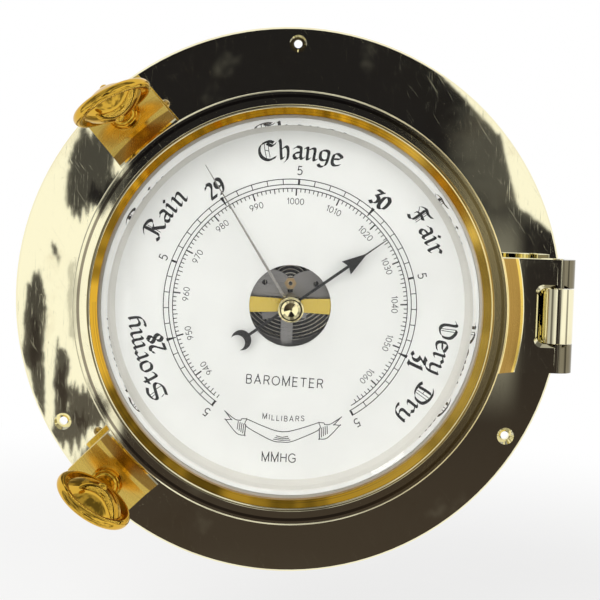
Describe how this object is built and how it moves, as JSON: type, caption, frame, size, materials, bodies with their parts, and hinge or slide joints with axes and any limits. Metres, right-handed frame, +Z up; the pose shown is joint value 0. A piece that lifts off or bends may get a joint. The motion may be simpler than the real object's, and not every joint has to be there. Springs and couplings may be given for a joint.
{
  "type": "barometer",
  "caption": "Aneroid barometer in a polished brass porthole case: wall flange, hinged glazed ring held by thumb screws, dial, set pointer and the geared movement behind it.",
  "frame": {"origin": "centre of the circle of wall screws, on the wall face of the flange", "axes": "+Z up the wall, +X to the reader's right towards the hinge, +Y into the wall; the dial faces -Y"},
  "size_m": [0.225, 0.0708, 0.225],
  "materials": {
    "polished_brass": "polished, with fine hand-polishing scratches",
    "sheet_brass": "satin turned or rolled brass",
    "movement_brass": "grained and lacquered",
    "steel": "grained grey steel",
    "capsule_metal": "pressed nickel silver sheet",
    "dial_enamel": "matt cream-white enamel",
    "pointer_black": "satin black",
    "rubber": "matt",
    "clear_glass": "clear, ground and polished bevel"
  },
  "bodies": {
    "case": {"base_casting": "polished_brass", "case_seal": "rubber", "back_cover": "sheet_brass", "back_cover_screws": "steel", "hinge_pin": "polished_brass", "dial_plate": "dial_enamel", "dial_surround": "dial_enamel", "dial_pillars": "movement_brass", "dial_screws": "movement_brass", "movement_plate": "steel", "movement_screws": "steel", "capsule": "capsule_metal", "capsule_nut": "movement_brass", "main_spring": "steel", "spring_pillars": "movement_brass", "spring_screws": "steel", "arbor_cock": "steel", "cock_screw": "steel", "arbor_bridge": "movement_brass", "bridge_pillars": "movement_brass", "bridge_screws": "steel", "hairspring": "steel", "quadrant_cock": "movement_brass", "quadrant_cock_screw": "steel", "rocking_brackets": "movement_brass", "adjusting_screw": "movement_brass"},
    "glazed_ring": {"bezel_ring": "polished_brass", "glass": "clear_glass", "glass_gasket": "rubber", "glass_retainer": "sheet_brass", "set_bush": "polished_brass", "set_bush_nut": "sheet_brass"},
    "upper_clamp_carrier": {"clamp_washer_upper": "polished_brass"},
    "upper_clamp": {"clamp_screw_upper": "polished_brass"},
    "lower_clamp_carrier": {"clamp_washer_lower": "polished_brass"},
    "lower_clamp": {"clamp_screw_lower": "polished_brass"},
    "quadrant_wheel": {"quadrant": "steel", "quadrant_arbor": "steel"},
    "pressure_hand": {"pointer_arbor": "steel", "pressure_pointer": "pointer_black"},
    "rocker": {"rocking_shaft": "steel"},
    "set_hand": {"set_pointer": "sheet_brass", "set_shaft": "polished_brass", "set_knob": "polished_brass"}
  },
  "joints": [
    {"name": "ring_hinge", "type": "hinge", "parent": "case", "child": "glazed_ring", "pos_m": [0.105, -0.02845, 0], "axis": [0, 0, 1], "range_deg": [0, 165]},
    {"name": "upper_clamp_travel", "type": "slide", "parent": "glazed_ring", "child": "upper_clamp_carrier", "axis": [-0.1175, -0.9848, 0.1278], "range_m": [0, 0.003]},
    {"name": "upper_clamp_turn", "type": "hinge", "parent": "upper_clamp_carrier", "child": "upper_clamp", "pos_m": [-0.06688, -0.035, 0.07273], "axis": [-0.1175, -0.9848, 0.1278], "range_deg": [0, 1080]},
    {"name": "lower_clamp_travel", "type": "slide", "parent": "glazed_ring", "child": "lower_clamp_carrier", "axis": [-0.1215, -0.9848, -0.1241], "range_m": [0, 0.003]},
    {"name": "lower_clamp_turn", "type": "hinge", "parent": "lower_clamp_carrier", "child": "lower_clamp", "pos_m": [-0.06913, -0.035, -0.07059], "axis": [-0.1215, -0.9848, -0.1241], "range_deg": [0, 1080]},
    {"name": "quadrant_turn", "type": "hinge", "parent": "case", "child": "quadrant_wheel", "pos_m": [0, -0.0183, -0.0441], "axis": [0, 1, 0], "range_deg": [-4.6, 10]},
    {"name": "pointer_turn", "type": "hinge", "parent": "case", "child": "pressure_hand", "pos_m": [0, -0.022, 0], "axis": [0, 1, 0], "range_deg": [-200, 92]},
    {"name": "rocker_turn", "type": "hinge", "parent": "case", "child": "rocker", "pos_m": [0.016, -0.0112, -0.0441], "axis": [1, 0, 0], "range_deg": [-3.8, 8.2]},
    {"name": "set_pointer_turn", "type": "hinge", "parent": "glazed_ring", "child": "set_hand", "pos_m": [0, -0.0365, 0], "axis": [0, 1, 0], "continuous": true}
  ],
  "couplings": [
    {"joint": "upper_clamp_turn", "follows": "upper_clamp_travel", "rad_per_m": 6283.2},
    {"joint": "lower_clamp_turn", "follows": "lower_clamp_travel", "rad_per_m": 6283.2},
    {"joint": "pointer_turn", "follows": "quadrant_turn", "ratio": -20},
    {"joint": "rocker_turn", "follows": "quadrant_turn", "ratio": 0.82}
  ]
}
